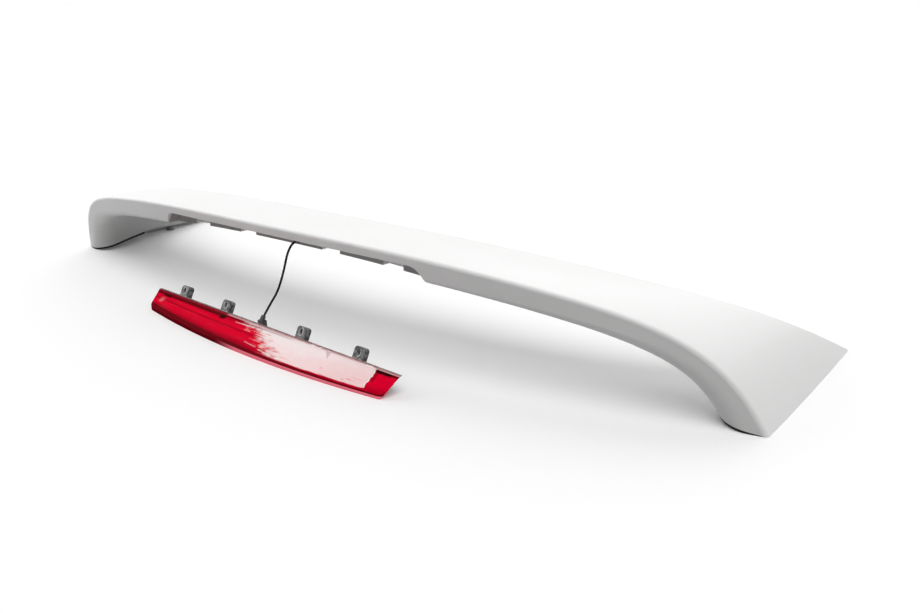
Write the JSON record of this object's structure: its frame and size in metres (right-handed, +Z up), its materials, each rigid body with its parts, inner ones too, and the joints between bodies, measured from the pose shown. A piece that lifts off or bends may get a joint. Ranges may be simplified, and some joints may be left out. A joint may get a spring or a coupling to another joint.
{
  "type": "car rear spoiler",
  "caption": "Bridge-shaped boot-lid spoiler with swept feet and a lamp recess, its red brake lamp lying beside it on a cable.",
  "frame": {"origin": "centre of the four threaded foot inserts, on the plane that the feet stand on", "axes": "+X across the car to its right, +Y towards the front of the car, +Z up"},
  "size_m": [1.3634, 0.5165, 0.1677],
  "materials": {
    "white_paint": "gloss white paint",
    "brass": "machined",
    "foam": "matt black foam",
    "grommet_rubber": "matt black rubber",
    "cable_jacket": "satin black",
    "dark_plastic": "matt dark grey",
    "red_lens": "clear red, worn and hazy at one end",
    "seal": "matt black",
    "bright_tray": "metallised",
    "board": "green solder resist",
    "diodes": "clear",
    "resistors": "matt black"
  },
  "bodies": {
    "root": {"wing_shell": "white_paint", "foot_inserts": "brass", "foot_gasket_left": "foam", "foot_gasket_right": "foam", "cable_grommet": "grommet_rubber", "lamp_cable": "cable_jacket", "lamp_cable_gland": "dark_plastic", "lamp_lens": "red_lens", "lens_seal": "seal", "lamp_housing": "dark_plastic", "lamp_reflector": "bright_tray", "lamp_circuit_board": "board", "lamp_leds": "diodes", "lamp_resistors": "resistors"}
  },
  "joints": []
}
